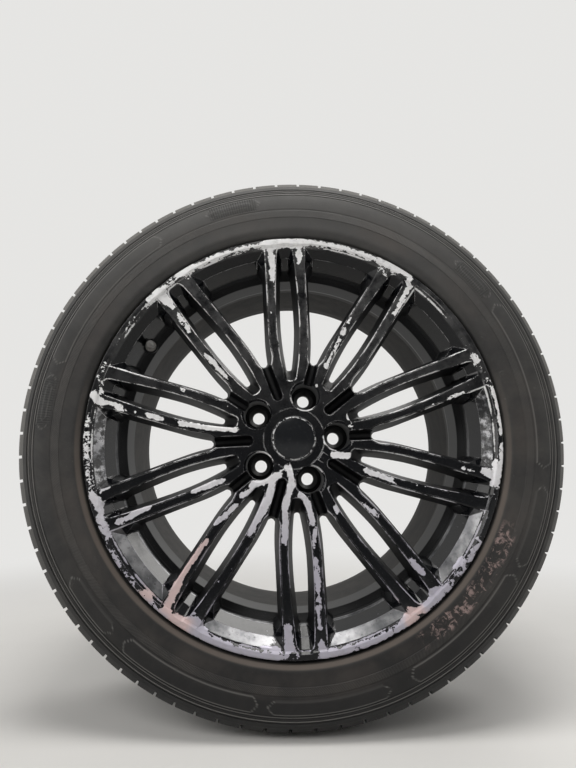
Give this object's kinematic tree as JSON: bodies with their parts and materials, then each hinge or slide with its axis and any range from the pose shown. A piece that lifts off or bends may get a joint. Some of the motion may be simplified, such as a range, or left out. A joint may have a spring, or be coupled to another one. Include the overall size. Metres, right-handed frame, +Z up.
{
  "type": "alloy wheel with tyre",
  "caption": "Standing alloy wheel with twin spokes, a fitted low profile tyre, a snap-in centre cap and a clamp-in valve with a pressure sensor, its gloss black paint peeled to bare metal.",
  "frame": {"origin": "on the spin axis, half way between the two bead flanges", "axes": "+Y along the spin axis from the face toward the mounting side, the face looks toward -Y, +Z up as the wheel stands on its tread, +X to the right seen from the face"},
  "size_m": [0.6962, 0.278, 0.696],
  "materials": {
    "rim_paint": "gloss black paint, flaked off to bare aluminium in places",
    "tyre": "dusty worn rubber",
    "cap_plastic": "gloss black",
    "wire": "spring wire",
    "stem_metal": "dull anodised",
    "grommet_rubber": "matt",
    "brass": "turned",
    "vcap_plastic": "dusty grey",
    "sensor_plastic": "satin black"
  },
  "bodies": {
    "wheel_and_tyre": {"wheel": "rim_paint", "tyre": "tyre", "centre_cap": "cap_plastic", "cap_emblem_disc": "cap_plastic", "cap_retaining_ring": "wire", "valve_stem": "stem_metal", "valve_grommet": "grommet_rubber", "valve_collar_nut": "stem_metal", "valve_core_body": "brass", "valve_core_spring": "wire", "pressure_sensor": "sensor_plastic", "sensor_screw": "wire"},
    "valve_pin": {"valve_core_pin": "brass", "valve_core_seal": "grommet_rubber"},
    "cap_lift": {"valve_cap_seal": "grommet_rubber"},
    "cap_turn": {"valve_cap": "vcap_plastic"}
  },
  "joints": [
    {"name": "valve_pin_press", "type": "slide", "parent": "wheel_and_tyre", "child": "valve_pin", "axis": [-0.2029, 0.9703, 0.1318], "range_m": [0, 0.0012], "stiffness_N_per_m": 400, "springref_m": -0.002, "deforming": ["valve_core_spring"]},
    {"name": "valve_cap_lift", "type": "slide", "parent": "wheel_and_tyre", "child": "cap_lift", "axis": [0.2029, -0.9703, -0.1318], "range_m": [0, 0.00397]},
    {"name": "valve_cap_turn", "type": "hinge", "parent": "cap_lift", "child": "cap_turn", "pos_m": [-0.18579, -0.11167, 0.12065], "axis": [0.2029, -0.9703, -0.1318], "range_deg": [0, 1800]}
  ],
  "couplings": [
    {"joint": "valve_cap_turn", "follows": "valve_cap_lift", "rad_per_m": 7913}
  ]
}
